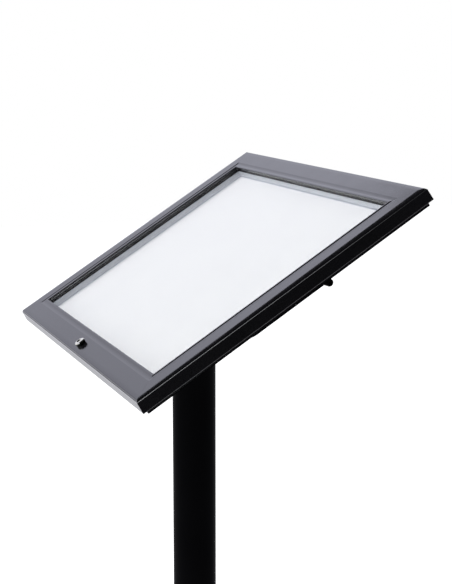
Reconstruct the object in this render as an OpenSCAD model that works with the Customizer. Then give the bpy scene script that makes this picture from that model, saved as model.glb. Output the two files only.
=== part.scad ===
// Menu display stand: a lockable, glazed, tilting display case on a round post and a flat base plate.
// Frame: X across the case, +Y away from the reader, +Z up, origin on the floor under the post.
// Case pieces are drawn flat (X across, Y up the slope, Z out of the door face) and then tilted.

/* [Stand] */
// Height of the tilt pivot above the floor
pivot_z = 1000; // [800:1:1200]
// Side of the square base plate
base_w = 400; // [300:1:500]
// Thickness of the base plate
base_t = 8; // [5:0.5:12]
// Corner radius of the base plate
base_corner_r = 25; // [10:1:60]
// Thickness of the rubber pad under the base plate
pad_t = 2; // [1:0.5:5]
// Distance of the pad inside the plate's edges
pad_inset = 4; // [1:0.5:9]
// Outside diameter of the post tube
post_d = 50; // [40:0.5:60]
// Wall of the post tube
post_wall = 2; // [1.5:0.1:4]
// Height of the plug in the bottom of the post
foot_plug_h = 40; // [25:1:60]
// Diameter of the bolt that holds the post to the base plate
base_bolt_d = 12; // [8:1:16]

/* [Case] */
// Tilt of the case from level
case_tilt = 32; // [26:1:40]
// Width of the window
window_w = 421; // [300:1:500]
// Height of the window, along the slope
window_h = 298; // [260:1:400]
// Width of the left and right door rails
side_rail_w = 31; // [29:0.5:40]
// Width of the top and bottom door rails
end_rail_w = 34; // [32:0.5:42]
// Depth of the door's outer skirt below its face
skirt_depth = 15.8; // [14.5:0.1:20]
// Thickness of the door's outer skirt
skirt_t = 1.8; // [1.2:0.1:2.2]
// Thickness of the door's face
face_t = 2.2; // [1.6:0.1:2.4]
// Width of the shoulder that falls away to the rail's outer edge
shoulder_w = 7.5; // [6:0.5:9]
// Drop of the shoulder, down to where its round edge begins to turn
shoulder_drop = 0.3; // [0.2:0.1:0.5]
// Radius of the shoulder's round outer edge
shoulder_r = 2; // [1.2:0.1:2.2]
// Width of the ledge between the shoulder and the skirt
ledge_w = 0.8; // [0.4:0.1:1]
// Radius of the ledge's outer edge
ledge_r = 0.3; // [0.1:0.05:0.3]
// How far the skirt leans out from the ledge to its lower edge
skirt_flare = 0.6; // [0.2:0.1:0.8]
// Radius of the skirt's lower outer edge
skirt_edge_r = 0.8; // [0.3:0.1:1]
// Depth of the groove that runs round the window
groove_depth = 0.5; // [0.2:0.1:0.8]
// Width of the groove
groove_w = 6.2; // [4:0.1:6.5]
// Distance of the groove's middle from the window's edge
groove_x = 5.3; // [5.2:0.1:7]
// Thickness of the wall at the window's edge
lip_t = 2; // [1.9:0.1:2.4]
// Radius of the window's edge
lip_r = 0.8; // [0.5:0.1:1.8]
// Depth of the window's edge, down to the glazing
lip_depth = 6.3; // [5.5:0.1:6.6]
// Thickness of the glazing
glazing_t = 2; // [1:0.1:2.2]
// How far the glazing runs under the rails
glazing_lap = 10; // [7:0.5:10]
// Distance of the tray inside the door's outer edge
tray_inset = 5; // [4:0.1:5.2]
// Depth of the tray's back below the door's face
tray_depth = 20.5; // [19.5:0.1:24]
// Thickness of the tray's back panel
back_t = 1.2; // [1:0.1:1.6]
// Wall of the tray's rails
tray_wall = 1.8; // [1.2:0.1:2]
// Thickness of the board under the white insert pan
board_t = 2.5; // [1:0.5:4]
// Thickness of the white insert pan
pan_t = 0.6; // [0.4:0.1:0.8]
// Gap between the window's edge and the insert pan's wall
pan_gap = 1; // [0.5:0.1:1.5]
// Thickness of the menu sheet
sheet_t = 0.2; // [0.1:0.05:0.3]
// Gap round the menu sheet in its pan
sheet_gap = 1.5; // [0.5:0.1:3]
// Width of the rubber door seal
seal_w = 3; // [2:0.5:3.5]

/* [Hinge] */
// Length of the piano hinge
hinge_len = 400; // [250:10:410]
// Number of knuckles in the hinge, an odd count
knuckles = 9; // [5:2:15]
// Diameter of the hinge pin
hinge_pin_d = 1.6; // [1.4:0.1:1.8]
// Diameter of a knuckle
knuckle_d = 3.2; // [3:0.1:3.4]
// Thickness of a hinge leaf
leaf_t = 0.8; // [0.6:0.1:0.8]

/* [Lock] */
// Distance of the lock from the middle of the bottom rail
lock_offset = 7.5; // [0:0.5:40]
// Distance of the lock from the bottom rail's outer edge
lock_edge = 13.5; // [13:0.1:15]
// Diameter of the lock's head
lock_d = 11; // [10:0.5:13]
// How far the lock's head stands out of the door's face
lock_h = 4; // [3.5:0.5:10]
// Diameter of the lock's threaded body
lock_body_d = 9; // [8.5:0.1:9.5]
// Diameter of the turning plug
plug_d = 7; // [6:0.1:7.4]
// Reach of the cam from the lock's axis
cam_len = 11; // [10:0.1:11.2]
// Thickness of the cam
cam_t = 2; // [1.5:0.1:2.2]

/* [Tilt bracket] */
// Distance of the pivot from the window's middle, towards the reader along the slope
pivot_back = 38.5; // [30:0.5:45]
// Depth of the pivot below the door's face
pivot_drop = 46; // [44:0.5:55]
// Distance of the clamp rod from the pivot, along the slope
rod_run = 139; // [120:1:150]
// Depth of the clamp rod below the pivot, square to the slope
rod_drop = 53.6; // [45:0.1:60]
// Outside width of the bracket
bracket_w = 76; // [70:1:90]
// Thickness of the bracket's steel sheet
bracket_t = 3; // [2:0.5:4]
// Distance of the bracket's lower edge from the clamp rod's axis
rod_edge = 4.7; // [4.4:0.1:8]
// Radius of the bracket's lower front corner
cheek_r = 30; // [20:1:34]
// Thickness of a slotted sector plate
sector_t = 3; // [2:0.5:4]
// Diameter of the pivot bolt
pivot_d = 10; // [8:1:12]
// Diameter of the clamp rod
rod_d = 5; // [4:0.5:6]
// Diameter of the clamp's sleeve nut
sleeve_d = 8.8; // [8:0.2:10]
// How far the sleeve nut stands out from the bracket
sleeve_len = 16; // [12:0.5:22]
// How far the case tilts up from its lowest position
tilt_up = 24; // [5:1:26]

/* [Hidden] */
$fn = 64;

// Gap between pieces that move past each other
run_gap = 0.3;
// Radial clearance of a pin in its bearing
pin_gap = 0.05;
// Radial clearance of a plug or bolt in a plain hole
hole_gap = 0.1;
// Half the hairline gap at a mitred corner
mitre_gap = 0.05;
// Extra reach of a cut past the face that it opens
cut = 1;

// Stand
plate_z = pad_t + base_t;
base_bolt_short = 5;
plug_r = post_d / 2 - post_wall - hole_gap;
head_block_down = 50;
collar_h = 5;
collar_r = post_d / 2 + 2;
head_plug_h = 60;
head_depth = 40;
head_top_r = 18;
head_corner_r = 1;
head_foot_y = head_depth / 2 - head_corner_r;
head_foot_z = head_block_down + collar_h / 2 - head_corner_r;
post_top_z = pivot_z - head_block_down - collar_h;
set_screw_d = 6;
set_screw_len = 8;
set_screw_sink = 0.2;
set_screw_socket = 3;
set_screw_drops = [20, 40];

// Tilt bracket, from the outside in
cheek_in = bracket_w / 2 - bracket_t;
sector_out = cheek_in - run_gap;
head_half_w = sector_out - sector_t;
rod_r = norm([rod_run, rod_drop]);
rod_rest_angle = case_tilt - atan2(rod_drop, rod_run);
slot_low = rod_rest_angle;
slot_high = rod_rest_angle + tilt_up;
slot_half = rod_d / 2 + run_gap;
// Step that keeps a slot's arcs from only just touching its round ends
arc_step = 0.15;
// Depth of a straight edge inside the round corners that it joins, so that they cross cleanly
edge_sink = 0.005;
// Facets of the large arcs, which become true circles
arc_facets = 200;
sector_boss_r = 18;
sector_leg_drop = 38;
sector_leg_r = 10;
sector_screw_d = 5;
sector_screw_drops = [24, 38];
sector_screw_len = 14;
washer_in = bracket_w / 2 + run_gap;
washer_t = 1.5;
washer_d = pivot_d * 2;
bolt_head_h = pivot_d * 0.64;
bolt_head_r = pivot_d * 0.92;
nut_h = pivot_d * 0.8;
bolt_tail = 2;
web_bottom = tray_depth + bracket_t;
bend_r = bracket_t + 1.4;
bracket_front = 64;
pivot_boss_r = 18;
bracket_rear = rod_run - pivot_back + 10;
stud_d = 5;
stud_inset = 8;
stud_half_u = 22;
stud_front = stud_inset - bracket_front;
stud_back = bracket_rear - stud_inset;
stud_nut_r = 4.6;
stud_nut_h = 4;
stud_tail = 1.5;
spacer_d = 10;
rod_head_h = 4;
hex_socket_r = 2.3;
hex_socket_depth = 5;
rod_end_gap = 1;
sleeve_rim = 0.8;

// Door and tray: the four sides are numbered top, right, bottom, left
case_half_u = window_w / 2 + side_rail_w;
case_half_v = window_h / 2 + end_rail_w;
tray_half_u = case_half_u - tray_inset;
tray_half_v = case_half_v - tray_inset;
back_top = tray_depth - back_t;
board_top = back_top - board_t;
pan_floor = board_top - pan_t;
glazing_back = lip_depth + glazing_t;
pan_rim = glazing_back + run_gap;
tray_inner_x = pan_gap + pan_t;
tray_inner_t = 1.2;
tray_base_t = 1.2;
seal_h = 2.2;
seal_drop = 1.2;
seal_top = face_t + seal_drop;
tray_rim = seal_top + seal_h;
// Overlap of the shoulder's arc with the flat face
arc_lap = 0.01;
retainer_x = tray_inner_x + tray_inner_t + 0.5;
retainer_t = 1.5;
retainer_out = glazing_lap + 2;
retainer_end_gap = 14;
key_t = 2;
key_near = retainer_out + 0.5;
key_w = 8;
key_arm = 35;
block_w = 10;
block_h = 6;
rivet_d = 3.2;
rivet_head_d = 6;
rivet_head_h = 0.8;
rivet_up = 2.4;
rivets_per_side = 3;
rivet_x = 14;

// Hinge along the tray's top edge
hinge_v = tray_half_v + leaf_t + (tray_inset - skirt_t - leaf_t * 2) / 2 + (knuckle_d - leaf_t) / 4;
hinge_w = skirt_depth + run_gap + knuckle_d / 2;
door_leaf_v = case_half_v - skirt_t - leaf_t;
case_leaf_top = 8;
case_rivet_drop = 11;
door_leaf_top = 5;
door_rivet_drop = 8;
leaf_rivet_d = 3;
leaf_rivet_count = 6;
knuckle_len = hinge_len / knuckles;

// Lock
lock_v = case_half_v - lock_edge;
lock_seat = 0.3;
lock_rim = 0.5;
lock_body_end = 9;
cam_top = lock_body_end + run_gap;
cam_w = 8;
plug_sink = 0.5;
key_slot_w = 1.4;
key_slot_len = 4.6;
key_slot_depth = 3;
cam_screw_d = 2.5;
cam_screw_head_d = 5.5;
cam_screw_head_h = 1.5;
cam_screw_bite = 5;
lock_nut_r = 6.3;
lock_nut_h = 2.4;
lock_nut_gap = 0.1;
cam_slot_lead = 1;

black = "#1b1b1e";
steel = "#b9bcc0";
zinc = "#9da1a6";
rubber = "#26272a";
white = "#f2f3f5";
chrome = "#d7d9dc";

function side_w(i) = i % 2 == 0 ? end_rail_w : side_rail_w;
function side_half(i) = i % 2 == 0 ? window_h / 2 : window_w / 2;
function side_len(i) = i % 2 == 0 ? window_w : window_h;
// Stretch of the profile's features on a wide rail, so that they meet those of a narrow one at the mitre
function stretch(i) = side_w(i) / side_rail_w;

// Ends of the edge that joins two circles [x, y, r], with the shape on its left
function tangent_pair(a, b) =
    let (d = [b[0] - a[0], b[1] - a[1]], l = norm(d), t = atan2(d[1], d[0]) - acos((a[2] - b[2]) / l))
    [[a[0], a[1]] + (a[2] - edge_sink) * [cos(t), sin(t)],
     [b[0], b[1]] + (b[2] - edge_sink) * [cos(t), sin(t)]];

// Outline round a list of circles [x, y, r] that go anticlockwise
module rounded_outline(corners) {
    n = len(corners);
    polygon([for (i = [0 : n - 1]) each tangent_pair(corners[i], corners[(i + 1) % n])]);
    for (c = corners) {
        translate([c[0], c[1]]) circle(c[2]);
    }
}

// Flat case frame tilted onto the pivot
module on_case() {
    translate([0, 0, pivot_z]) rotate([case_tilt, 0, 0]) translate([0, pivot_back, pivot_drop]) children();
}

// Side i of the window: local X runs along it, local Y points away from the window
module on_side(i) {
    on_case() rotate([0, 0, -90 * i]) translate([0, side_half(i), 0]) children();
}

// A profile, drawn as (distance from the window, height), run along local X
module along(length) {
    translate([-length / 2, 0, 0]) rotate([90, 0, 90]) linear_extrude(length) children();
}

// Outline drawn in (Y, Z) and centred on X = 0
module across(width) {
    translate([-width / 2, 0, 0]) rotate([90, 0, 90]) linear_extrude(width) children();
}

// Space that one side's rail fills between its two mitres, out to the distance far
module mitre_space(i, far) {
    half_in = side_len(i) / 2 - mitre_gap;
    lean = side_w(i + 1) / side_w(i);
    translate([0, 0, -tray_depth - cut]) linear_extrude(tray_depth + cut * 3)
        polygon([[-half_in, 0], [half_in, 0], [half_in + far * lean, far], [-half_in - far * lean, far]]);
}

module hex(r, h) {
    cylinder(r = r, h = h, $fn = 6);
}

// Countersunk screw along +Z, its head's face at 0
module csk_screw(d, length) {
    cylinder(d1 = d * 2, d2 = d, h = d / 2);
    cylinder(d = d, h = length);
}

/* Stand */

// Rounded square, inset from the base plate's edges
module base_outline(inset) {
    r = base_corner_r - inset;
    c = base_w / 2 - base_corner_r;
    rounded_outline([[-c, -c, r], [c, -c, r], [c, c, r], [-c, c, r]]);
}

module base_pad() {
    color(rubber) linear_extrude(pad_t) base_outline(pad_inset);
}

module base_plate() {
    color(black) translate([0, 0, pad_t]) difference() {
        linear_extrude(base_t) base_outline(0);
        csk_screw(base_bolt_d, base_t + cut);
    }
}

module base_bolt() {
    color(zinc) translate([0, 0, pad_t]) csk_screw(base_bolt_d, base_t + foot_plug_h - base_bolt_short);
}

module post_foot_plug() {
    color(steel) translate([0, 0, plate_z]) difference() {
        cylinder(r = plug_r, h = foot_plug_h);
        translate([0, 0, -cut]) cylinder(d = base_bolt_d, h = foot_plug_h + cut * 2);
    }
}

module post_tube() {
    color(black) difference() {
        translate([0, 0, plate_z]) cylinder(d = post_d, h = post_top_z - plate_z);
        translate([0, 0, plate_z - cut])
            cylinder(r = post_d / 2 - post_wall, h = post_top_z - plate_z + cut * 2);
        set_screw_holes();
    }
}

// The set screws stand one above the other at the back of the post
module set_screw_holes() {
    for (drop = set_screw_drops) {
        translate([0, post_d / 2 - set_screw_len, post_top_z - drop]) rotate([-90, 0, 0])
            cylinder(d = set_screw_d, h = set_screw_len + cut);
    }
}

module post_head() {
    color(black) difference() {
        union() {
            translate([0, 0, pivot_z]) across(head_half_w * 2)
                rounded_outline([[0, 0, head_top_r], [-head_foot_y, -head_foot_z, head_corner_r],
                                 [head_foot_y, -head_foot_z, head_corner_r]]);
            translate([0, 0, post_top_z]) cylinder(r = collar_r, h = collar_h);
            translate([0, 0, post_top_z - head_plug_h]) cylinder(r = plug_r, h = head_plug_h + cut);
        }
        translate([-bracket_w, 0, pivot_z]) rotate([0, 90, 0]) cylinder(d = pivot_d, h = bracket_w * 2);
        set_screw_holes();
        for (s = [-1, 1], drop = sector_screw_drops) {
            sector_screw(s, drop);
        }
    }
}

module head_set_screws() {
    color(zinc) for (drop = set_screw_drops) {
        translate([0, post_d / 2 - set_screw_len, post_top_z - drop]) rotate([-90, 0, 0]) difference() {
            cylinder(d = set_screw_d, h = set_screw_len - set_screw_sink);
            translate([0, 0, set_screw_len - set_screw_socket]) hex(set_screw_d / 4, set_screw_socket);
        }
    }
}

module sector_screw(s, drop) {
    translate([s * sector_out, 0, pivot_z - drop]) rotate([0, -90 * s, 0])
        csk_screw(sector_screw_d, sector_screw_len);
}

// Wedge of a ring round the pivot, from the slot's lower end to its upper end
module slot_wedge(inner, outer) {
    reach = rod_r * 1.2;
    intersection() {
        difference() {
            circle(outer, $fn = arc_facets);
            circle(inner, $fn = arc_facets);
        }
        polygon([[0, 0], reach * [cos(slot_low), sin(slot_low)], reach * [cos(slot_high), sin(slot_high)]]);
    }
}

// Fan-shaped plate with an arc slot round the pivot, in (Y, Z) from the pivot
module sector_outline() {
    low = rod_r * [cos(slot_low), sin(slot_low)];
    high = rod_r * [cos(slot_high), sin(slot_high)];
    difference() {
        union() {
            rounded_outline([[0, -sector_leg_drop, sector_leg_r], [low[0], low[1], rod_edge],
                             [high[0], high[1], rod_edge], [0, 0, sector_boss_r]]);
            slot_wedge(rod_r / 2, rod_r + rod_edge - arc_step);
        }
        circle(d = pivot_d);
        slot_wedge(rod_r - slot_half, rod_r + slot_half);
        translate(low) circle(slot_half + arc_step);
        translate(high) circle(slot_half + arc_step);
    }
}

module sector_plate(s) {
    color(zinc) difference() {
        translate([s * (sector_out - sector_t / 2), 0, pivot_z]) across(sector_t) sector_outline();
        for (drop = sector_screw_drops) {
            sector_screw(s, drop);
        }
    }
}

module sector_plate_right() {
    sector_plate(1);
}

module sector_plate_left() {
    sector_plate(-1);
}

module sector_screws() {
    color(steel) for (s = [-1, 1], drop = sector_screw_drops) {
        sector_screw(s, drop);
    }
}

module pivot_bolt() {
    head_in = washer_in + washer_t;
    end = head_in + nut_h + bolt_tail;
    color(steel) translate([0, 0, pivot_z]) rotate([0, 90, 0]) {
        translate([0, 0, head_in]) hex(bolt_head_r, bolt_head_h);
        translate([0, 0, -end]) cylinder(d = pivot_d, h = end + head_in + bolt_head_h / 2);
    }
}

module pivot_washers() {
    color(zinc) for (x = [washer_in, -washer_in - washer_t]) {
        translate([x, 0, pivot_z]) rotate([0, 90, 0]) difference() {
            cylinder(d = washer_d, h = washer_t);
            translate([0, 0, -cut]) cylinder(d = pivot_d, h = washer_t + cut * 2);
        }
    }
}

module pivot_nut() {
    color(zinc) translate([-washer_in - washer_t - nut_h, 0, pivot_z]) rotate([0, 90, 0]) difference() {
        hex(bolt_head_r, nut_h);
        translate([0, 0, -cut]) cylinder(d = pivot_d, h = nut_h + cut * 2);
    }
}

/* Tilt bracket on the case */

// Places children at the clamp rod's axis, along X
module on_rod() {
    on_case() translate([0, rod_run - pivot_back, -pivot_drop - rod_drop]) rotate([0, 90, 0]) children();
}

module on_pivot() {
    on_case() translate([0, -pivot_back, -pivot_drop]) rotate([0, 90, 0]) children();
}

// Outline of a cheek in (up the slope, out of the face)
module cheek_outline() {
    low = -pivot_drop - rod_drop - rod_edge;
    rounded_outline([[-bracket_front + bend_r, -tray_depth - bend_r, bend_r],
                     [-pivot_back, -pivot_drop, pivot_boss_r],
                     [0, low + cheek_r, cheek_r],
                     [rod_run - pivot_back, low + rod_edge, rod_edge],
                     [bracket_rear - bend_r, -tray_depth - bend_r, bend_r]]);
}

// Folded sheet: a web under the case and two cheeks
module bracket_section() {
    depth = pivot_drop + rod_drop;
    half = bracket_w / 2;
    difference() {
        union() {
            translate([-half, -depth * 2]) square([bracket_w, depth * 2 - bend_r - tray_depth]);
            translate([-half + bend_r, -depth]) square([bracket_w - bend_r * 2, depth - tray_depth]);
            for (s = [-1, 1]) {
                translate([s * (half - bend_r), -tray_depth - bend_r]) circle(bend_r);
            }
        }
        translate([-cheek_in, -depth * 2 - cut]) square([cheek_in * 2, depth * 2 + cut - web_bottom]);
    }
}

module case_bracket() {
    color(black) difference() {
        on_case() intersection() {
            across(bracket_w + cut) cheek_outline();
            translate([0, bracket_rear + cut, 0]) rotate([90, 0, 0])
                linear_extrude(bracket_rear + bracket_front + cut * 2) bracket_section();
        }
        on_pivot() cylinder(r = pivot_d / 2 + pin_gap, h = bracket_w * 2, center = true);
        on_rod() cylinder(d = rod_d, h = bracket_w * 2, center = true);
        stud_shanks();
    }
}

// Welded studs under the case's back, two at each end of the bracket
module stud_places() {
    on_case() for (u = [-stud_half_u, stud_half_u], v = [stud_front, stud_back]) {
        translate([u, v, -web_bottom - stud_nut_h]) children();
    }
}

module stud_shanks() {
    stud_places() translate([0, 0, -stud_tail]) cylinder(d = stud_d, h = bracket_t + stud_nut_h + stud_tail);
}

module bracket_studs() {
    color(zinc) stud_shanks();
}

module bracket_nuts() {
    color(zinc) difference() {
        stud_places() hex(stud_nut_r, stud_nut_h);
        stud_shanks();
    }
}

module clamp_rod() {
    start = -bracket_w / 2 - rod_head_h;
    end = bracket_w / 2 + sleeve_len - hex_socket_depth - rod_end_gap;
    color(steel) on_rod() translate([0, 0, start]) {
        cylinder(d = sleeve_d, h = rod_head_h);
        cylinder(d = rod_d, h = end - start);
    }
}

// Tube on the rod that keeps the two sector plates apart
module clamp_spacer() {
    length = (head_half_w - run_gap) * 2;
    color(zinc) on_rod() difference() {
        cylinder(d = spacer_d, h = length, center = true);
        cylinder(d = rod_d, h = length + cut, center = true);
    }
}

module clamp_sleeve_nut() {
    length = sleeve_len - run_gap;
    rim = sleeve_rim;
    color(black) on_rod() translate([0, 0, bracket_w / 2 + run_gap]) difference() {
        union() {
            cylinder(d = sleeve_d, h = length - rim);
            translate([0, 0, length - rim]) cylinder(d1 = sleeve_d, d2 = sleeve_d - rim * 2, h = rim);
        }
        translate([0, 0, -cut]) cylinder(r = rod_d / 2 + pin_gap, h = length - hex_socket_depth + cut);
        translate([0, 0, length - hex_socket_depth]) hex(hex_socket_r, hex_socket_depth + cut);
    }
}

/* Tray of the case */

module back_panel() {
    color(black) on_case() difference() {
        translate([-tray_half_u, -tray_half_v, -tray_depth]) cube([tray_half_u * 2, tray_half_v * 2, back_t]);
        tray_rivet_places() cylinder(d = rivet_d, h = tray_depth, center = true);
    }
}

// Rivets along the four sides, at the back of the tray
module tray_rivet_places() {
    for (i = [0 : 3], k = [0 : rivets_per_side - 1]) {
        x = side_len(i) * ((k + 0.5) / rivets_per_side - 0.5);
        rotate([0, 0, -90 * i]) translate([x, side_half(i) + rivet_x, -tray_depth]) children();
    }
}

module tray_profile(i) {
    outer = side_w(i) - tray_inset;
    translate([tray_inner_x, -back_top]) square([outer - tray_inner_x, tray_base_t]);
    translate([tray_inner_x, -back_top]) square([tray_inner_t, back_top - pan_rim]);
    translate([outer - tray_wall, -back_top]) square([tray_wall, back_top - tray_rim]);
}

// Slot in the bottom rail's wall that the lock's cam turns into
module cam_slot() {
    start = -lock_offset - cam_len - cam_slot_lead;
    translate([start, side_w(2) - tray_inset - tray_wall - cut, -cam_top - cam_t - run_gap])
        cube([cam_len + cam_w / 2 + cam_slot_lead * 2, tray_wall + cut * 2, cam_t + run_gap * 2]);
}

module tray_rail(i) {
    color(black) difference() {
        on_side(i) difference() {
            intersection() {
                along(side_len(i) + side_w(i + 1) * 2) tray_profile(i);
                mitre_space(i, side_w(i));
            }
            if (i == 2) {
                cam_slot();
            }
        }
        on_case() tray_rivet_places() cylinder(d = rivet_d, h = tray_depth, center = true);
        if (i == 0) {
            leaf_rivets(tray_half_v - tray_wall - cut, tray_half_v + cut, case_rivet_drop);
        }
    }
}

module tray_rail_top() {
    tray_rail(0);
}

module tray_rail_right() {
    tray_rail(1);
}

module tray_rail_bottom() {
    tray_rail(2);
}

module tray_rail_left() {
    tray_rail(3);
}

// Square blocks that join the tray's rails inside their corners
module tray_corner_blocks() {
    color(zinc) on_case() for (s = [-1, 1], t = [-1, 1]) {
        u = s * (tray_half_u - tray_wall - block_w / 2);
        v = t * (tray_half_v - tray_wall - block_w / 2);
        translate([u, v, -back_top + tray_base_t + block_h / 2])
            cube([block_w, block_w, block_h], center = true);
    }
}

module tray_rivets() {
    color(zinc) on_case() tray_rivet_places() {
        translate([0, 0, -rivet_head_h]) cylinder(d = rivet_head_d, h = rivet_head_h);
        cylinder(d = rivet_d, h = back_t + rivet_up);
    }
}

// Flat plate that fills the tray between its inner walls, from one depth up to another
module tray_fill(from, to) {
    half_u = window_w / 2 + tray_inner_x;
    half_v = window_h / 2 + tray_inner_x;
    translate([-half_u, -half_v, -from]) cube([half_u * 2, half_v * 2, from - to]);
}

module pan_board() {
    color(white) on_case() tray_fill(back_top, board_top);
}

module insert_pan() {
    half_u = window_w / 2 + pan_gap;
    half_v = window_h / 2 + pan_gap;
    color(white) on_case() difference() {
        tray_fill(board_top, pan_rim);
        translate([-half_u, -half_v, -pan_floor]) cube([half_u * 2, half_v * 2, tray_depth]);
    }
}

module menu_sheet() {
    half_u = window_w / 2 + pan_gap - sheet_gap;
    half_v = window_h / 2 + pan_gap - sheet_gap;
    color(white) on_case() translate([-half_u, -half_v, -pan_floor]) cube([half_u * 2, half_v * 2, sheet_t]);
}

module door_seal() {
    color(rubber) for (i = [0 : 3]) {
        outer = side_w(i) - tray_inset;
        on_side(i) intersection() {
            along(side_len(i) + side_w(i + 1) * 2)
                translate([outer - seal_w, -tray_rim]) square([seal_w, seal_h]);
            mitre_space(i, side_w(i));
        }
    }
}

/* Hinge */

// One set of knuckles: every other one, from the end for the case, from the next for the door
module knuckle_places(first) {
    for (k = [first : 2 : knuckles - 1]) {
        translate([-hinge_len / 2 + k * knuckle_len, 0, 0]) children();
    }
}

module on_hinge() {
    on_case() translate([0, hinge_v, -hinge_w]) children();
}

module hinge_leaf(first, leaf_v, top, rivet_drop) {
    gap = run_gap / 2;
    color(zinc) difference() {
        union() {
            on_hinge() knuckle_places(first) translate([gap, 0, 0]) rotate([0, 90, 0])
                cylinder(d = knuckle_d, h = knuckle_len - gap * 2);
            on_hinge() knuckle_places(first) translate([gap, leaf_v - hinge_v, 0])
                cube([knuckle_len - gap * 2, leaf_t, hinge_w - top]);
            on_case() translate([-hinge_len / 2 + gap, leaf_v, -skirt_depth])
                cube([hinge_len - gap * 2, leaf_t, skirt_depth - top]);
        }
        on_hinge() rotate([0, 90, 0])
            cylinder(r = hinge_pin_d / 2 + pin_gap, h = hinge_len + cut, center = true);
        leaf_rivets(leaf_v - cut, leaf_v + leaf_t + cut, rivet_drop);
    }
}

// Flush rivets square to the hinge's leaves
module leaf_rivets(from_v, to_v, depth) {
    on_case() for (k = [0 : leaf_rivet_count - 1]) {
        x = hinge_len * ((k + 0.5) / leaf_rivet_count - 0.5);
        translate([x, from_v, -depth]) rotate([-90, 0, 0]) cylinder(d = leaf_rivet_d, h = to_v - from_v);
    }
}

module hinge_case_leaf() {
    hinge_leaf(0, tray_half_v, case_leaf_top, case_rivet_drop);
}

module hinge_door_leaf() {
    hinge_leaf(1, door_leaf_v, door_leaf_top, door_rivet_drop);
}

module hinge_pin() {
    color(steel) on_hinge() rotate([0, 90, 0]) cylinder(d = hinge_pin_d, h = hinge_len, center = true);
}

module hinge_case_rivets() {
    color(steel) leaf_rivets(tray_half_v - tray_wall, tray_half_v + leaf_t, case_rivet_drop);
}

module hinge_door_rivets() {
    color(steel) leaf_rivets(door_leaf_v, case_half_v, door_rivet_drop);
}

/* Door */

// Section of a door rail: a grooved face, a shoulder with a ledge, a skirt outside and a lip at the window
module rail_profile(i) {
    k = stretch(i);
    w = side_w(i);
    flat = w - shoulder_w * k;
    skirt_top = w - skirt_flare * k;
    turn = [skirt_top - ledge_w * k - shoulder_r, -shoulder_drop - shoulder_r];
    r = (pow(turn[0] - flat, 2) + shoulder_drop * (shoulder_drop + 2 * shoulder_r)) / (2 * shoulder_drop);
    touch = [flat, -r] + (turn - [flat, -r]) * r / (r - shoulder_r);
    groove_r = (pow(groove_w * k, 2) / 4 + pow(groove_depth, 2)) / (2 * groove_depth);
    inside = w - skirt_t;
    difference() {
        union() {
            translate([0, -skirt_depth]) square([flat, skirt_depth]);
            polygon([[flat, -skirt_depth], [w - skirt_edge_r, -skirt_depth],
                     [w - edge_sink, skirt_edge_r - skirt_depth], [skirt_top - edge_sink, turn[1] - ledge_r],
                     [skirt_top - ledge_r, turn[1]], turn, touch, [flat, 0]]);
            translate([w - skirt_edge_r, skirt_edge_r - skirt_depth]) circle(skirt_edge_r);
            translate([skirt_top - ledge_r, turn[1] - ledge_r]) circle(ledge_r);
            translate(turn) circle(shoulder_r + edge_sink);
            intersection() {
                translate([flat, -r]) circle(r, $fn = arc_facets);
                polygon([[flat - arc_lap, turn[1]], [flat - arc_lap, cut], [touch[0], cut], touch,
                         [touch[0], turn[1]]]);
            }
        }
        polygon([[lip_t, -face_t], [flat, -face_t], [inside - shoulder_r, -face_t - shoulder_drop],
                 [inside, turn[1] - face_t / 2], [inside, -skirt_depth - cut], [lip_t, -skirt_depth - cut]]);
        translate([-cut, -skirt_depth - cut]) square([lip_t + cut * 2, skirt_depth + cut - lip_depth]);
        translate([groove_x * k, groove_r - groove_depth]) circle(groove_r, $fn = arc_facets);
        difference() {
            translate([-cut, -lip_r]) square([cut + lip_r, lip_r + cut]);
            translate([lip_r, -lip_r]) circle(lip_r);
        }
    }
}

module door_rail(i) {
    color(black) difference() {
        on_side(i) intersection() {
            along(side_len(i) + side_w(i + 1) * 2) rail_profile(i);
            mitre_space(i, side_w(i));
        }
        if (i == 0) {
            leaf_rivets(case_half_v - skirt_t - cut, case_half_v + cut, door_rivet_drop);
        }
        if (i == 2) {
            on_lock() translate([0, 0, -lip_depth]) cylinder(d = lock_body_d, h = lip_depth + cut);
            on_lock() translate([0, 0, -lock_seat]) cylinder(d = lock_d, h = lock_seat + cut);
        }
    }
}

module door_rail_top() {
    door_rail(0);
}

module door_rail_right() {
    door_rail(1);
}

module door_rail_bottom() {
    door_rail(2);
}

module door_rail_left() {
    door_rail(3);
}

// Flat corner keys under the door's face, one arm along each rail
module door_corner_keys() {
    out_u = key_near + key_w;
    out_v = (key_near + key_w) * end_rail_w / side_rail_w;
    color(zinc) on_case() for (s = [0, 1], t = [0, 1]) {
        mirror([s, 0, 0]) mirror([0, t, 0]) translate([window_w / 2, window_h / 2, -face_t - key_t]) {
            translate([key_near, -key_arm, 0]) cube([key_w, key_arm + out_v, key_t]);
            translate([-key_arm, out_v - key_w, 0]) cube([key_arm + out_u, key_w, key_t]);
        }
    }
}

module door_glazing() {
    half_u = window_w / 2 + glazing_lap;
    half_v = window_h / 2 + glazing_lap;
    color([0.85, 0.9, 0.92, 0.25]) on_case()
        translate([-half_u, -half_v, -glazing_back]) cube([half_u * 2, half_v * 2, glazing_t]);
}

// Angle strips that hold the glazing up against the window's edge
module glazing_retainers() {
    color(black) for (i = [0 : 3]) {
        on_side(i) along(side_len(i) - retainer_end_gap * 2) {
            translate([retainer_x, -glazing_back - retainer_t])
                square([retainer_out - retainer_x, retainer_t]);
            translate([retainer_out - retainer_t, -glazing_back - retainer_t])
                square([retainer_t, glazing_back + retainer_t - face_t]);
        }
    }
}

/* Lock */

module on_lock() {
    on_case() translate([lock_offset, -lock_v, 0]) children();
}

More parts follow.
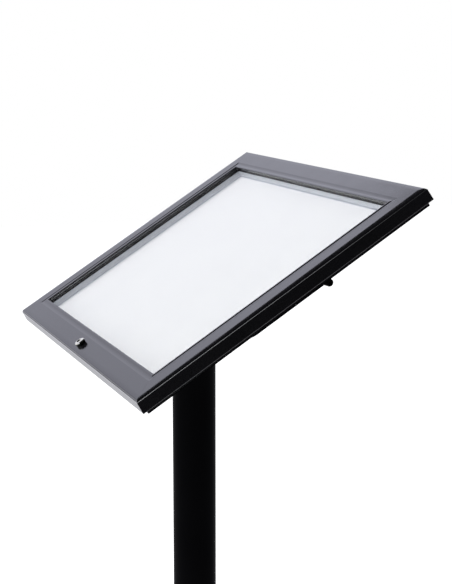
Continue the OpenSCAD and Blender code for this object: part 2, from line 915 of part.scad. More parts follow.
module lock_barrel() {
    rim = lock_rim;
    color(chrome) on_lock() difference() {
        union() {
            translate([0, 0, -lock_seat]) cylinder(d = lock_d, h = lock_h - rim + lock_seat);
            translate([0, 0, lock_h - rim]) cylinder(d1 = lock_d, d2 = lock_d - rim * 2, h = rim);
            translate([0, 0, -lock_body_end]) cylinder(d = lock_body_d, h = lock_body_end);
        }
        translate([0, 0, -lock_body_end - cut])
            cylinder(r = plug_d / 2 + pin_gap, h = lock_body_end + lock_h + cut * 2);
    }
}

// The nut sits just clear of the sloping underside of the rail's shoulder
module lock_nut() {
    color(zinc) on_lock() translate([0, 0, -face_t - lock_nut_gap - lock_nut_h]) difference() {
        hex(lock_nut_r, lock_nut_h);
        translate([0, 0, -cut]) cylinder(d = lock_body_d, h = lock_nut_h + cut * 2);
    }
}

module lock_plug() {
    color(chrome) on_lock() difference() {
        translate([0, 0, -cam_top]) cylinder(d = plug_d, h = cam_top + lock_h - plug_sink);
        translate([-key_slot_len / 2, -key_slot_w / 2, lock_h - plug_sink - key_slot_depth])
            cube([key_slot_len, key_slot_w, key_slot_depth + cut]);
        translate([0, 0, -cam_top - cut]) cylinder(d = cam_screw_d, h = cam_screw_bite + cut);
    }
}

// The cam points along the rail at rest, which is unlocked
module lock_cam() {
    color(zinc) on_lock() translate([0, 0, -cam_top - cam_t]) difference() {
        linear_extrude(cam_t) rounded_outline([[0, 0, cam_w / 2], [cam_len - cam_w / 2, 0, cam_w / 2]]);
        translate([0, 0, -cut]) cylinder(d = cam_screw_d, h = cam_t + cut * 2);
    }
}

module lock_cam_screw() {
    color(steel) on_lock() translate([0, 0, -cam_top - cam_t]) {
        translate([0, 0, -cam_screw_head_h]) cylinder(d = cam_screw_head_d, h = cam_screw_head_h);
        cylinder(d = cam_screw_d, h = cam_t + cam_screw_bite);
    }
}

base_pad();
base_plate();
base_bolt();
post_foot_plug();
post_tube();
post_head();
head_set_screws();
sector_plate_right();
sector_plate_left();
sector_screws();
pivot_bolt();
pivot_washers();
pivot_nut();
case_bracket();
bracket_studs();
bracket_nuts();
clamp_rod();
clamp_spacer();
back_panel();
tray_rail_top();
tray_rail_right();
tray_rail_bottom();
tray_rail_left();
tray_corner_blocks();
tray_rivets();
pan_board();
insert_pan();
menu_sheet();
door_seal();
hinge_case_leaf();
hinge_pin();
hinge_case_rivets();
hinge_door_leaf();
hinge_door_rivets();
door_rail_top();
door_rail_right();
door_rail_bottom();
door_rail_left();
door_corner_keys();
door_glazing();
glazing_retainers();
lock_barrel();
lock_nut();
lock_plug();
lock_cam();
lock_cam_screw();
clamp_sleeve_nut();
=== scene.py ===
"""Looks of the menu display stand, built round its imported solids."""
import math

import bmesh
import bpy
from mathutils import Matrix, Vector


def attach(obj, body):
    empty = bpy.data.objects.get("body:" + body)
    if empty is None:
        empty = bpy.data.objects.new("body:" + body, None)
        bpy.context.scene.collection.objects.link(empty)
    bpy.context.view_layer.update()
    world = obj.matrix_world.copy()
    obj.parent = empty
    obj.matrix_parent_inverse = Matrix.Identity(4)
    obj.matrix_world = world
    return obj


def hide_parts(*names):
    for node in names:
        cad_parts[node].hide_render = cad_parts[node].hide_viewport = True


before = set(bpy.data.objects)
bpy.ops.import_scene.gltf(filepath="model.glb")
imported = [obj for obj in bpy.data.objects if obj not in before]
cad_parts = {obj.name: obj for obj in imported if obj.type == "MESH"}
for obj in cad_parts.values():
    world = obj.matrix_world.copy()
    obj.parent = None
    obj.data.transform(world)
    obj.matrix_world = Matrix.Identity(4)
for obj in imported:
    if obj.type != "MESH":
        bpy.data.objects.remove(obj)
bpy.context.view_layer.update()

MM = 0.001

# The case's own axes: across, up the slope and out of the door's face, from the middle of the window
TILT = math.radians(32)
PIVOT_Z = 1000 * MM
PIVOT_BACK = 38.5 * MM
PIVOT_DROP = 46 * MM
ON_CASE = (
    Matrix.Translation((0, 0, PIVOT_Z))
    @ Matrix.Rotation(TILT, 4, "X")
    @ Matrix.Translation((0, PIVOT_BACK, PIVOT_DROP))
)
# Turns a local Z axis to run along X
ALONG_X = Matrix.Rotation(math.radians(90), 4, "Y")
ON_PIVOT = Matrix.Translation((0, 0, PIVOT_Z)) @ ALONG_X

# Painted highlight on the door's ledge, a glint painted along its outer edge: its place out of the door's
# face, the half widths between which its line fades, the places up the slope where it is brightest and
# faintest, its faintest share, and its colour
LEDGE_OUT = -2.48 * MM
PAINTED_GLINT_LINE = (0.1 * MM, 0.18 * MM)
PAINTED_GLINT_BRIGHTEST = -183 * MM
PAINTED_GLINT_FAINTEST = 150 * MM
PAINTED_GLINT_LEAST = 0.08
PAINTED_GLINT_COLOUR = (0.72, 0.73, 0.75)

# Black bead that the glazing sits on: its reach across and up from the window's middle and how softly that
# ends, its place out of the door's face, the half widths between which its line fades, and how strongly it
# shows left of BEAD_LEFT and right of it
BEAD_AROUND = (211.5 * MM, 150 * MM)
BEAD_END = 0.2 * MM
BEAD_OUT = -4.7 * MM
BEAD_LINE = (1.2 * MM, 2.2 * MM)
BEAD_LEFT = (-209 * MM, -208 * MM)
BEAD_SHARE = (0.2, 0.7)

# Painted shade on the side of the lock's head: its colour, its top over the door's face and how softly it
# ends
PAINTED_SIDE_SHADE = (0.05, 0.05, 0.045)
PAINTED_SIDE_SHADE_TOP = 3.6 * MM
PAINTED_SIDE_SHADE_END = 0.3 * MM


class Value:
    """A shader socket that Python's operators combine into Math nodes."""

    def __init__(self, finish, socket):
        self.finish = finish
        self.socket = socket

    def _math(self, operation, other=None):
        node = self.finish.tree.nodes.new("ShaderNodeMath")
        node.operation = operation
        self.finish.feed(node.inputs[0], self)
        if other is not None:
            self.finish.feed(node.inputs[1], other)
        return Value(self.finish, node.outputs[0])

    def __add__(self, other):
        return self._math("ADD", other)

    def __sub__(self, other):
        return self._math("SUBTRACT", other)

    def __mul__(self, other):
        return self._math("MULTIPLY", other)

    def largest(self, other):
        return self._math("MAXIMUM", other)

    def size(self):
        return self._math("ABSOLUTE")


class Finish:
    """The nodes of a material or a world, made one call at a time."""

    def __init__(self, owner):
        self.owner = owner
        self.owner.use_nodes = True
        self.tree = owner.node_tree
        self.tree.nodes.clear()

    def feed(self, socket, value):
        if isinstance(value, Value):
            self.tree.links.new(value.socket, socket)
        elif isinstance(value, bpy.types.NodeSocket):
            self.tree.links.new(value, socket)
        elif hasattr(value, "__len__") and len(value) == 3 and socket.type == "RGBA":
            socket.default_value = (*value, 1)
        else:
            socket.default_value = value

    def node(self, kind, settings=None, **inputs):
        """Makes a node: its settings, then its sockets' values or links, with _ for a space."""
        node = self.tree.nodes.new("ShaderNode" + kind)
        for setting, value in (settings or {}).items():
            setattr(node, setting, value)
        for name, value in inputs.items():
            self.feed(node.inputs[name.replace("_", " ")], value)
        return node

    def value(self, node, output=0):
        return Value(self, node.outputs[output])

    def place(self, scale=(1, 1, 1)):
        """Object coordinates, in metres, scaled."""
        where = self.node("TexCoord")
        mapping = self.node("Mapping", Vector=where.outputs["Object"], Scale=scale)
        return mapping.outputs[0]

    def noise(self, size, detail, where=None):
        """Noise whose lumps are about size metres across, as a value."""
        node = self.node("TexNoise", Vector=where or self.place(), Scale=1 / size, Detail=detail)
        return self.value(node, "Fac")

    def change(self, value, start, end, first, last):
        """Goes from first, where the value is start, to last, where it is end, and stays there outside."""
        node = self.node(
            "MapRange", {"clamp": True}, Value=value, From_Min=start, From_Max=end, To_Min=first, To_Max=last
        )
        return self.value(node, "Result")

    def spread(self, noise, low, high):
        """Stretches a noise's middle range to low..high."""
        return self.change(noise, 0.3, 0.7, low, high)

    def case_place(self):
        """How far a point lies across and up from the window's middle, and out of the door's face."""
        place = self.node("SeparateXYZ", Vector=self.node("TexCoord").outputs["Object"])
        y = self.value(place, 1)
        z = self.value(place, 2) - PIVOT_Z
        up = y * math.cos(TILT) + z * math.sin(TILT) - PIVOT_BACK
        out = z * math.cos(TILT) - y * math.sin(TILT) - PIVOT_DROP
        return self.value(place, 0), up, out

    def tint(self, factor, first, second):
        """A colour between first and second."""
        node = self.node("Mix", {"data_type": "RGBA"})
        self.feed(node.inputs[0], factor)
        self.feed(node.inputs[6], first)
        self.feed(node.inputs[7], second)
        return Value(self, node.outputs[2])

    def bump(self, height, depth, strength, below=None):
        """A Bump node for a height of 0 to 1 that stands for depth metres."""
        node = self.node("Bump", Height=height, Distance=depth, Strength=strength)
        if below is not None:
            self.feed(node.inputs["Normal"], below)
        return node.outputs[0]

    def surface(self, shader):
        self.node("OutputMaterial", Surface=shader)
        return self.owner

    def principled(self, **inputs):
        return self.node("BsdfPrincipled", **inputs)

    def blend(self, factor, first, second):
        """A shader between two nodes' shaders, the first where the factor is 0."""
        mix = self.node("MixShader", Fac=factor)
        self.tree.links.new(first.outputs[0], mix.inputs[1])
        self.tree.links.new(second.outputs[0], mix.inputs[2])
        return mix.outputs[0]


def new_finish(name):
    return Finish(bpy.data.materials.new(name))


def powder_coat(name, colour, shade, roughness, ior, on_door=False):
    """Satin powder coat: a fine orange peel, slow changes of tone and a little uneven gloss.

    With on_door, a painted highlight runs along the outer edge of the door's ledge, brightest at the reader's
    end, and a matt black line inside the window is the bead that the glazing sits on.
    """
    finish = new_finish(name)
    cloud = finish.noise(110 * MM, 3)
    fine = finish.noise(1.1 * MM, 2)
    gloss = finish.noise(30 * MM, 4)
    plain = finish.tint(finish.spread(cloud, 0, 1), colour, shade)
    tone = plain
    if on_door:
        across, up, out = finish.case_place()
        # Painted highlight: a bright line painted along the ledge's outer edge, fading up the slope, in place
        # of a glint
        line = finish.change((out - LEDGE_OUT).size(), *PAINTED_GLINT_LINE, 1, 0)
        painted_glint = finish.change(up, PAINTED_GLINT_BRIGHTEST, PAINTED_GLINT_FAINTEST, 1, PAINTED_GLINT_LEAST) * finish.spread(gloss, 0.75, 1)
        tone = finish.tint(line * painted_glint, plain, PAINTED_GLINT_COLOUR)
    shader = finish.principled(
        Base_Color=tone,
        Roughness=finish.spread(gloss, roughness - 0.03, roughness + 0.03),
        IOR=ior,
        Normal=finish.bump(fine, 0.02 * MM, 0.35),
    )
    if not on_door:
        return finish.surface(shader.outputs[0])
    line = finish.change((out - BEAD_OUT).size(), *BEAD_LINE, 1, 0)
    for distance, reach in zip((across, up), BEAD_AROUND):
        line *= finish.change(distance.size(), reach, reach + BEAD_END, 1, 0)
    bead = finish.principled(Base_Color=plain, Roughness=0.7, Specular_IOR_Level=0.1)
    return finish.surface(finish.blend(line * finish.change(across, *BEAD_LEFT, *BEAD_SHARE), shader, bead))


def plated(name, colour, shade, roughness, grain=(1, 1, 1), painted_shade_top=None):
    """Plated or ground metal with fine marks, which the grain's scale draws out along one way.

    Given a top height, it is painted dark below that height out of the door's face, as painted shade.
    """
    finish = new_finish(name)
    marks = finish.noise(0.9 * MM, 3, finish.place(grain))
    cloud = finish.noise(12 * MM, 3)
    tone = finish.tint(finish.spread(cloud, 0, 1), colour, shade)
    if painted_shade_top is not None:
        # Painted shade: below the top height the colour is painted dark
        out = finish.case_place()[2]
        tone = finish.tint(finish.change(out, painted_shade_top - PAINTED_SIDE_SHADE_END, painted_shade_top, 0, 1), PAINTED_SIDE_SHADE, tone)
    shader = finish.principled(
        Base_Color=tone,
        Metallic=1.0,
        Roughness=finish.spread(marks, roughness - 0.06, roughness + 0.08),
        Normal=finish.bump(marks, 0.01 * MM, 0.3),
    )
    return finish.surface(shader.outputs[0])


def rubber(name, colour):
    """Matt rubber with a fine grain and slightly paler clouds."""
    finish = new_finish(name)
    grain = finish.noise(0.8 * MM, 2)
    cloud = finish.noise(20 * MM, 3)
    shader = finish.principled(
        Base_Color=finish.tint(finish.spread(cloud, 0, 1), colour, [c * 1.5 for c in colour]),
        Roughness=finish.spread(cloud, 0.72, 0.85),
        Specular_IOR_Level=0.3,
        Normal=finish.bump(grain, 0.04 * MM, 0.5),
    )
    return finish.surface(shader.outputs[0])


def white_coat(name, colour, shade, roughness):
    """White coated sheet metal with a faint peel."""
    finish = new_finish(name)
    cloud = finish.noise(80 * MM, 3)
    fine = finish.noise(1.2 * MM, 2)
    shader = finish.principled(
        Base_Color=finish.tint(finish.spread(cloud, 0, 1), colour, shade),
        Roughness=finish.spread(cloud, roughness - 0.04, roughness + 0.04),
        Normal=finish.bump(fine, 0.02 * MM, 0.3),
    )
    return finish.surface(shader.outputs[0])


def paper(name, colour, shade):
    """Coated print paper: fine fibres up the sheet, slow changes of tone and a faint waviness."""
    finish = new_finish(name)
    fibre = finish.noise(0.6 * MM, 4, finish.place((1, 0.35, 0.35)))
    cloud = finish.noise(50 * MM, 3)
    wave = finish.noise(120 * MM, 1)
    near = finish.bump(fibre, 0.015 * MM, 0.3)
    shader = finish.principled(
        Base_Color=finish.tint(finish.spread(cloud, 0, 1), colour, shade),
        Roughness=finish.spread(fibre, 0.5, 0.62),
        Specular_IOR_Level=0.3,
        Normal=finish.bump(wave, 0.6 * MM, 0.25, near),
    )
    return finish.surface(shader.outputs[0])


def clear_sheet(name, colour):
    """Clear acrylic that lets the lamps' light through."""
    finish = new_finish(name)
    smear = finish.noise(70 * MM, 4)
    shader = finish.principled(
        Base_Color=colour,
        Roughness=finish.spread(smear, 0.0, 0.03),
        Transmission_Weight=1.0,
        IOR=1.1,
    )
    path = finish.node("LightPath")
    through = finish.value(path, "Is Shadow Ray").largest(finish.value(path, "Is Diffuse Ray"))
    open_way = finish.node("BsdfTransparent", Color=(0.93, 0.94, 0.945))
    return finish.surface(finish.blend(through, shader, open_way))


# The finishes: each has its colours first, and its roughness after them where it takes one

coat = powder_coat("satin_black_coat", (0.005, 0.005, 0.006), (0.007, 0.007, 0.0085), 0.14, 1.58, True)
coat_metal = powder_coat(
    "black_coat_on_steel", (0.0024, 0.0024, 0.0029), (0.0036, 0.0036, 0.0042), 0.35, 1.05
)
zinc = plated("zinc_plate", (0.55, 0.56, 0.58), (0.66, 0.66, 0.68), 0.3)
steel = plated("ground_steel", (0.58, 0.58, 0.59), (0.5, 0.5, 0.51), 0.22, (0.15, 1, 1))
# The lock's chrome has painted shade on the side of its head
chrome = plated("polished_chrome", (0.8, 0.79, 0.7), (0.74, 0.73, 0.65), 0.1, painted_shade_top=PAINTED_SIDE_SHADE_TOP)
seal = rubber("black_rubber", (0.02, 0.02, 0.021))
white = white_coat("white_pan_coat", (0.725, 0.745, 0.805), (0.695, 0.715, 0.77), 0.4)
sheet = paper("white_menu_paper", (0.865, 0.855, 0.85), (0.845, 0.835, 0.835))
pane = clear_sheet("clear_acrylic", (0.985, 0.99, 0.992))

FINISHES = {
    coat: ["door_rail_top", "door_rail_right", "door_rail_bottom", "door_rail_left", "tray_rail_top",
           "tray_rail_right", "tray_rail_bottom", "tray_rail_left"],
    coat_metal: ["post_tube", "post_head", "case_bracket", "back_panel", "glazing_retainers"],
    zinc: ["base_bolt", "head_set_screws", "sector_plate_right", "sector_plate_left", "bracket_studs",
           "clamp_spacer", "tray_corner_blocks", "hinge_case_leaf", "hinge_door_leaf", "door_corner_keys",
           "lock_nut", "lock_cam"],
    steel: ["post_foot_plug", "sector_screws", "hinge_pin", "hinge_case_rivets", "hinge_door_rivets",
            "lock_cam_screw"],
    seal: ["base_pad", "door_seal"],
    white: ["pan_board"],
    sheet: ["menu_sheet"],
    pane: ["door_glazing"],
}
for material, nodes in FINISHES.items():
    for name in nodes:
        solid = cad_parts[name]
        for slot in solid.material_slots:
            slot.material = material


# Shapes: loops of points are laid one after another and skinned, and a loop of one point closes an end

# An edge that folds by more than this is crisp
CREASE = math.radians(35)
# A nut's chamfer starts inside its flats by this share, and rises by this angle
CHAMFER_SHARE = 0.96
CHAMFER_RISE = math.radians(28)


def rounded(corners, steps=5):
    """A polyline in (distance from the axis, height), in mm, whose corners (x, z, radius) are rounded."""
    points = []
    for place, (x, z, *radius) in enumerate(corners):
        if not radius:
            points.append(Vector((x, z)))
            continue
        here = Vector((x, z))
        back = (Vector(corners[place - 1][:2]) - here).normalized()
        ahead = (Vector(corners[(place + 1) % len(corners)][:2]) - here).normalized()
        half = back.angle(ahead) / 2
        reach = radius[0] / math.tan(half)
        middle = here + (back + ahead).normalized() * radius[0] / math.sin(half)
        first = here + back * reach - middle
        last = here + ahead * reach - middle
        for step in range(steps + 1):
            points.append(middle + first.slerp(last, step / steps))
    return [(point.x, point.y) for point in points]


def hexagon(corner):
    """Distance to the side of a hexagon with that corner radius, in the direction of an angle."""
    return lambda angle: corner * math.cos(math.pi / 6) / math.cos(angle % (math.pi / 3) - math.pi / 6)


def trimmed_hexagon(corner, limit):
    """A hexagon whose corners are cut back to a circle, as the chamfer of a nut does."""
    side = hexagon(corner)
    return lambda angle: min(side(angle), limit)


def slot_shape(length, width):
    """Distance to the side of a rectangle, in the direction of an angle."""
    def reach(angle):
        along = length / 2 / max(abs(math.cos(angle)), 1e-6)
        across = width / 2 / max(abs(math.sin(angle)), 1e-6)
        return min(along, across)
    return reach


def ring(reach, height, segments=96):
    """A loop round the local Z axis, in mm. The reach is a radius or a function of the angle."""
    if reach == 0:
        return [Vector((0, 0, height))]
    loop = []
    for step in range(segments):
        angle = 2 * math.pi * step / segments
        distance = reach(angle) if callable(reach) else reach
        loop.append(Vector((distance * math.cos(angle), distance * math.sin(angle), height)))
    return loop


def rounded_rectangle(half_x, half_y, corner, height, steps=8):
    """A loop round a rectangle with round corners, in mm."""
    loop = []
    for quarter, (side_x, side_y) in enumerate(((1, 1), (-1, 1), (-1, -1), (1, -1))):
        for step in range(steps + 1):
            angle = math.pi / 2 * (quarter + step / steps)
            x = side_x * (half_x - corner) + corner * math.cos(angle)
            y = side_y * (half_y - corner) + corner * math.sin(angle)
            loop.append(Vector((x, y, height)))
    return loop


def skin(shape, loops, place, closed=False):
    """Adds faces between neighbouring loops to a bmesh; with closed, the last loop joins the first."""
    scale = Matrix.Scale(MM, 4)
    rows = [[shape.verts.new(place @ scale @ point) for point in loop] for loop in loops]
    pairs = list(zip(rows, rows[1:]))
    if closed:
        pairs.append((rows[-1], rows[0]))
    for below, above in pairs:
        count = max(len(below), len(above))
        for step in range(count):
            after = (step + 1) % count
            around = [below[step % len(below)], below[after % len(below)]]
            around += [above[after % len(above)], above[step % len(above)]]
            shape.faces.new(list(dict.fromkeys(around)))
    if not closed:
        for row in (rows[0], rows[-1]):
            if len(row) > 1:
                shape.faces.new(row)


def finished_mesh(name, shape, material):
    """Closes a bmesh into a mesh with smooth curves, crisp corners and one finish."""
    bmesh.ops.recalc_face_normals(shape, faces=shape.faces)
    mesh = bpy.data.meshes.new(name)
    shape.to_mesh(mesh)
    shape.free()
    mesh.shade_smooth()
    mesh.set_sharp_from_angle(angle=CREASE)
    mesh.materials.append(material)
    return mesh


def fit_piece(name, mesh, body):
    """Makes the piece, stands it in for the node that it is named after, and lets it ride on its body."""
    piece = bpy.data.objects.new("shown_" + name, mesh)
    bpy.context.collection.objects.link(piece)
    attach(piece, body)
    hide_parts(name)


def turned_piece(name, parts, material, body):
    """One piece of several turned parts: each is (loops, place, closed)."""
    shape = bmesh.new()
    for loops, place, closed in parts:
        skin(shape, loops, place, closed)
    fit_piece(name, finished_mesh(name, shape, material), body)


def turned(profile, steps=5):
    """The loops of a profile with rounded corners, turned on a lathe."""
    return [ring(x, z) for x, z in rounded(profile, steps)]


def nut_loops(corner, bottom, top, bore):
    """A hexagon nut with chamfered ends and a round bore."""
    inner = corner * math.cos(math.pi / 6) * CHAMFER_SHARE
    width = corner - inner
    lift = width * math.tan(CHAMFER_RISE)
    chamfer = [(inner + width * part, lift * part) for part in (0, 0.25, 0.5, 0.75, 1)]
    lower = [ring(trimmed_hexagon(corner, limit), bottom + up) for limit, up in chamfer]
    upper = [ring(trimmed_hexagon(corner, limit), top - up) for limit, up in reversed(chamfer)]
    return [ring(bore, bottom), *lower, *upper, ring(bore, top)]


# Lock: distances from its own axis, and heights over the door's face, in mm

LOCK_PLACE = ON_CASE @ Matrix.Translation(Vector((7.5, -169.5, 0)) * MM)
BORE_R = 3.56
BODY_R = 4.5
HEAD_R = 5.5
FACE_R = 5
FACE_HEIGHT = 4
BODY_END = -9
BARREL = [
    (BORE_R, BODY_END), (BODY_R, BODY_END, 0.4), (BODY_R, -0.3), (HEAD_R, -0.3), (HEAD_R, 3.2, 0.5),
    (FACE_R, FACE_HEIGHT, 0.4), (BORE_R, FACE_HEIGHT, 0.1)]
turned_piece("lock_barrel", [(turned(BARREL), LOCK_PLACE, True)], chrome, "door")
PLUG_R = 3.5
PLUG_FACE = 3.9
keyway = slot_shape(3.2, 0.6)
keyway_mouth = slot_shape(3.4, 0.8)
turned_piece("lock_plug", [([
    ring(0, 0.5), ring(keyway, 0.5), ring(keyway, PLUG_FACE - 0.1), ring(keyway_mouth, PLUG_FACE),
    *turned([(2.9, PLUG_FACE), (PLUG_R, PLUG_FACE, 0.1), (PLUG_R, -9.3), (0, -9.3)])], LOCK_PLACE, False)],
    chrome, "lock")

# Clamp of the tilt bracket: distances from the rod's axis, and places along it, in mm

ON_ROD = ON_CASE @ Matrix.Translation(Vector((0, 100.5, -99.6)) * MM) @ ALONG_X
ROD_R = 2.5
END_R = 4.4
ROD_END = -42
SOCKET_BOTTOM = -40.2
key_socket = hexagon(2.1)
socket = [
    ring(0, SOCKET_BOTTOM), ring(key_socket, SOCKET_BOTTOM), ring(key_socket, ROD_END + 0.3),
    ring(ROD_R, ROD_END)]
rod = turned([
    (3.2, ROD_END), (END_R, ROD_END, 0.7), (END_R, -38, 0.2), (ROD_R, -38), (ROD_R, 48, 0.5), (0, 48)])
turned_piece("clamp_rod", [(socket + rod, ON_ROD, False)], steel, "case")
SLEEVE_PLACE = ON_ROD @ Matrix.Translation((0, 0, 38.3 * MM))
SLEEVE_BORE = 2.56
SLEEVE_END = 15.7
SOCKET_FLOOR = 10.7
sleeve_socket = hexagon(2.3)
turned_piece("clamp_sleeve_nut", [([
    *turned([(SLEEVE_BORE, 0), (END_R, 0, 0.3), (END_R, SLEEVE_END, 0.8), (2.9, SLEEVE_END, 0.2)]),
    ring(sleeve_socket, SLEEVE_END - 0.4), ring(sleeve_socket, SOCKET_FLOOR),
    ring(SLEEVE_BORE, SOCKET_FLOOR)], SLEEVE_PLACE, True)],
    coat_metal, "clamp_nut")

# Pivot: distances from the bolt's axis, and places along it, in mm

HEAD_CORNER = 9.2
NUT_LENGTH = 8
HEAD_IN = 39.8
HEAD_TOP = 46.2
BOLT_R = 5
BOLT_END = -49.8
WASHER_T = 1.5
shank = turned([(0, BOLT_END), (BOLT_R, BOLT_END, 0.8), (BOLT_R, HEAD_IN)])
head = nut_loops(HEAD_CORNER, HEAD_IN, HEAD_TOP, BOLT_R)
turned_piece("pivot_bolt", [([*shank, *head[1:-1], ring(0, HEAD_TOP)], ON_PIVOT, False)],
             steel, "stand")
nut = nut_loops(HEAD_CORNER, -HEAD_IN - NUT_LENGTH, -HEAD_IN, BOLT_R + 0.01)
turned_piece("pivot_nut", [(nut, ON_PIVOT, True)], zinc, "stand")
turned_piece("pivot_washers", [
    (turned([(5.02, x), (10, x, 0.3), (10, x + WASHER_T, 0.3), (5.02, x + WASHER_T)], 3), ON_PIVOT, True)
    for x in (HEAD_IN - WASHER_T, -HEAD_IN)], zinc, "stand")


# Repeats, each laid on its places by one node group

def repeat_group(name, template, turn, material):
    """Geometry nodes that put a turned copy of the template on every point, as real mesh in one finish."""
    group = bpy.data.node_groups.new(name, "GeometryNodeTree")
    group.interface.new_socket("Places", in_out="INPUT", socket_type="NodeSocketGeometry")
    piece_input = group.interface.new_socket("Piece", in_out="INPUT", socket_type="NodeSocketObject")
    turn_input = group.interface.new_socket("Turn", in_out="INPUT", socket_type="NodeSocketRotation")
    group.interface.new_socket("Mesh", in_out="OUTPUT", socket_type="NodeSocketGeometry")
    begin = group.nodes.new("NodeGroupInput")
    info = group.nodes.new("GeometryNodeObjectInfo")
    put = group.nodes.new("GeometryNodeInstanceOnPoints")
    real = group.nodes.new("GeometryNodeRealizeInstances")
    finish = group.nodes.new("GeometryNodeSetMaterial")
    finish.inputs["Material"].default_value = material
    end = group.nodes.new("NodeGroupOutput")
    group.links.new(begin.outputs["Places"], put.inputs["Points"])
    group.links.new(begin.outputs["Piece"], info.inputs["Object"])
    group.links.new(info.outputs["Geometry"], put.inputs["Instance"])
    group.links.new(begin.outputs["Turn"], put.inputs["Rotation"])
    group.links.new(put.outputs["Instances"], real.inputs["Geometry"])
    group.links.new(real.outputs["Geometry"], finish.inputs["Geometry"])
    group.links.new(finish.outputs["Geometry"], end.inputs["Mesh"])
    return group, {piece_input.identifier: template, turn_input.identifier: turn}


def repeated_piece(name, loops, closed, places, turn, material, body):
    """One mesh with a copy of a turned part at every place, in the same turn."""
    shape = bmesh.new()
    skin(shape, loops, Matrix.Identity(4), closed)
    template = bpy.data.objects.new(name + "_template", finished_mesh(name + "_one", shape, material))
    points = bpy.data.meshes.new(name + "_places")
    points.from_pydata(places, [], [])
    holder = bpy.data.objects.new(name + "_places", points)
    bpy.context.collection.objects.link(holder)
    group, values = repeat_group(name + "_repeat", template, turn.to_euler(), material)
    modifier = holder.modifiers.new("repeat", "NODES")
    modifier.node_group = group
    for identifier, value in values.items():
        modifier[identifier] = value
    bpy.context.view_layer.update()
    shown = holder.evaluated_get(bpy.context.evaluated_depsgraph_get())
    mesh = bpy.data.meshes.new_from_object(shown)
    holder.modifiers.remove(modifier)
    bpy.data.objects.remove(holder)
    bpy.data.objects.remove(template)
    fit_piece(name, mesh, body)


WINDOW_W = 421
WINDOW_H = 298
TRAY_DEPTH = 20.5
RIVET_OUT = 14
RIVETS_A_SIDE = 3
rivet_places = []
for side in range(4):
    length, half = (WINDOW_W, WINDOW_H / 2) if side % 2 == 0 else (WINDOW_H, WINDOW_W / 2)
    for step in range(RIVETS_A_SIDE):
        along = length * ((step + 0.5) / RIVETS_A_SIDE - 0.5)
        flat_place = Vector((along, half + RIVET_OUT, -TRAY_DEPTH)) * MM
        rivet_places.append(ON_CASE @ Matrix.Rotation(math.radians(-90 * side), 4, "Z") @ flat_place)
RIVET = [(0, -0.8), (1.3, -0.74), (2.2, -0.52), (2.75, -0.2), (3, 0), (1.6, 0), (1.6, 3.6), (0, 3.6)]
rivet_loops = [ring(x, z, 40) for x, z in RIVET]
repeated_piece("tray_rivets", rivet_loops, False, rivet_places, ON_CASE.to_quaternion(),
               zinc, "case")

BRACKET_T = 3
STUD_NUT = 4
nut_out = -TRAY_DEPTH - BRACKET_T - STUD_NUT
nut_places = [ON_CASE @ (Vector((x, y, nut_out)) * MM) for x in (-22, 22) for y in (-56, 102.5)]
repeated_piece("bracket_nuts", nut_loops(4.6, 0, STUD_NUT, 2.51), True, nut_places, ON_CASE.to_quaternion(),
               zinc, "case")


# White pan, folded from sheet metal with a round fold along its floor, in mm over the door's face

PAN_HALF = (212.1, 150.6)
PAN_TOP = -8.6
PAN_UNDER = -16.8
PAN_T = 0.6
PAN_CORNER = 3
FOLD_R = 2.1
FOLD_REACH = 2.4


def pan_loop(inset, height):
    return rounded_rectangle(PAN_HALF[0] - inset, PAN_HALF[1] - inset, PAN_CORNER - inset, height)


pan_floor = PAN_UNDER + PAN_T
outside = rounded([(0, PAN_TOP), (0, PAN_UNDER, FOLD_R), (FOLD_REACH, PAN_UNDER)])
inside = rounded([(FOLD_REACH, pan_floor), (PAN_T, pan_floor, FOLD_R - PAN_T), (PAN_T, PAN_TOP)])
pan_loops = [pan_loop(x, z) for x, z in reversed(outside)] + [pan_loop(x, z) for x, z in reversed(inside)]
turned_piece("insert_pan", [(pan_loops, ON_CASE, False)], white, "case")

# Base plate with eased edges, in mm

BASE_HALF = 200
BASE_CORNER = 25
EASE_REACH = 12
plate = rounded([(EASE_REACH, 2), (0, 2, 1), (0, 10, 1.5), (EASE_REACH, 10)])
plate_loops = [rounded_rectangle(BASE_HALF - x, BASE_HALF - x, BASE_CORNER - x, z) for x, z in plate]
turned_piece("base_plate", [(plate_loops, Matrix.Identity(4), False)], coat_metal, "stand")


# Floor, backdrop and light, in metres

# Where the lamps point
CASE_MIDDLE = (0, 0, 1.05)
# The cool white that glossy surfaces mirror
COOL = (1.04, 1.05, 1.22)
# The world's glow where it is mirrored rises between these heights of the direction, from level to level
GLOW_HEIGHTS = (0.3, 0.46)
GLOW_LEVELS = (0.8, 1.25)
# What lifts the floor to white where it is seen, and to what it shows where it is mirrored
SEEN_LIFT = 0.75
MIRRORED_LIFT = 0.25


def outside_look(finish):
    """Two values: 1 where the camera or the pane looks, and 1 where a glossy surface mirrors."""
    path = finish.node("LightPath")
    seen = finish.value(path, "Is Camera Ray").largest(finish.value(path, "Is Transmission Ray"))
    return seen, finish.value(path, "Is Glossy Ray")


def pale_floor(name, shade):
    """A pale floor that keeps shadows and is lifted towards the backdrop's white."""
    finish = new_finish(name)
    seen, mirrored = outside_look(finish)
    cloud = finish.noise(0.6, 3)
    shader = finish.principled(
        Base_Color=finish.tint(finish.spread(cloud, 0, 1), shade, [c * 0.985 for c in shade]),
        Roughness=0.9,
        Specular_IOR_Level=0.1,
        Emission_Color=finish.tint(mirrored, (1, 1, 1), COOL),
        Emission_Strength=seen * SEEN_LIFT + mirrored * MIRRORED_LIFT,
    )
    return finish.surface(shader.outputs[0])


def lay_floor(size):
    mesh = bpy.data.meshes.new("studio_floor")
    half = size / 2
    corners = [(-half, -half, 0), (half, -half, 0), (half, half, 0), (-half, half, 0)]
    mesh.from_pydata(corners, [], [(0, 1, 2, 3)])
    floor = bpy.data.objects.new("studio_floor", mesh)
    bpy.context.collection.objects.link(floor)
    mesh.materials.append(pale_floor("pale_floor", (0.82, 0.82, 0.83)))


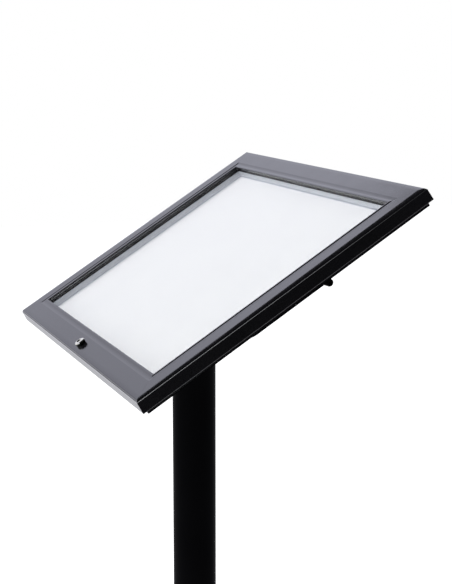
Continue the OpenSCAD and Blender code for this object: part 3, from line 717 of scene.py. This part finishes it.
def light_world(level):
    """White where it is seen or mirrored, and a plain level as light."""
    world = bpy.data.worlds.new("studio_air")
    bpy.context.scene.world = world
    air = Finish(world)
    light = air.node("Background", Color=(0.99, 0.995, 1), Strength=level)
    seen, mirrored = outside_look(air)
    height = air.value(air.node("SeparateXYZ", Vector=air.node("TexCoord").outputs["Generated"]), 2)
    glow = seen.largest(mirrored * air.change(height, *GLOW_HEIGHTS, *GLOW_LEVELS))
    backdrop = air.node("Background", Color=air.tint(mirrored, (1, 1, 1), COOL), Strength=glow)
    air.node("OutputWorld", Surface=air.blend(seen.largest(mirrored), light, backdrop))


def soft_box(name, place, size, power):
    """A soft lamp that faces the case and isn't mirrored."""
    lamp = bpy.data.lights.new(name, "AREA")
    lamp.shape = "RECTANGLE"
    lamp.size, lamp.size_y = size
    lamp.energy = power
    box = bpy.data.objects.new(name, lamp)
    bpy.context.collection.objects.link(box)
    box.location = place
    box.rotation_euler = (Vector(CASE_MIDDLE) - Vector(place)).to_track_quat("-Z", "Y").to_euler()
    box.visible_glossy = False


def dark_card(name, corners):
    """A black card that only mirrors show, as a studio uses to keep a dark side dark."""
    mesh = bpy.data.meshes.new(name)
    mesh.from_pydata(corners, [], [(0, 1, 2, 3)])
    card = bpy.data.objects.new(name, mesh)
    bpy.context.collection.objects.link(card)
    finish = new_finish(name)
    black = finish.principled(Base_Color=(0.01, 0.01, 0.01), Roughness=1)
    mesh.materials.append(finish.surface(black.outputs[0]))
    card.visible_camera = False
    card.visible_diffuse = False
    card.visible_transmission = False
    card.visible_shadow = False


lay_floor(16)
light_world(0.5)
soft_box("top_soft_box", (-0.9, -2.4, 4.0), (3.2, 3.2), 112)
soft_box("front_soft_box", (-0.4, -2.9, 1.0), (2.2, 1.4), 9)
CARD_X = 3
CARD_FRONT = -3
CARD_BACK = 4.5
CARD_TOP = 2.6
TOP_CARD_LEFT = -2.3
dark_card("dark_side_card", [
    (CARD_X, CARD_FRONT, 0), (CARD_X, CARD_BACK, 0), (CARD_X, CARD_BACK, CARD_TOP),
    (CARD_X, CARD_FRONT, CARD_TOP)])
dark_card("dark_top_card", [
    (TOP_CARD_LEFT, CARD_FRONT, CARD_TOP), (CARD_X, CARD_FRONT, CARD_TOP), (CARD_X, CARD_BACK, CARD_TOP),
    (TOP_CARD_LEFT, CARD_BACK, CARD_TOP)])

# Camera, fitted to the photograph's lines
CAMERA_FROM_WINDOW = Vector((1477.0, -541.2, 246.3)) * MM
YAW = math.radians(68.81)
PITCH = math.radians(10.387)
camera = bpy.data.cameras.new("camera")
camera.lens = 86.06
camera.sensor_width = 36
eye = bpy.data.objects.new("camera", camera)
bpy.context.collection.objects.link(eye)
eye.location = ON_CASE.translation + CAMERA_FROM_WINDOW
look = Vector((-math.sin(YAW) * math.cos(PITCH), math.cos(YAW) * math.cos(PITCH), -math.sin(PITCH)))
eye.rotation_euler = look.to_track_quat("-Z", "Y").to_euler()
bpy.context.scene.camera = eye
bpy.context.scene.view_settings.view_transform = "Standard"
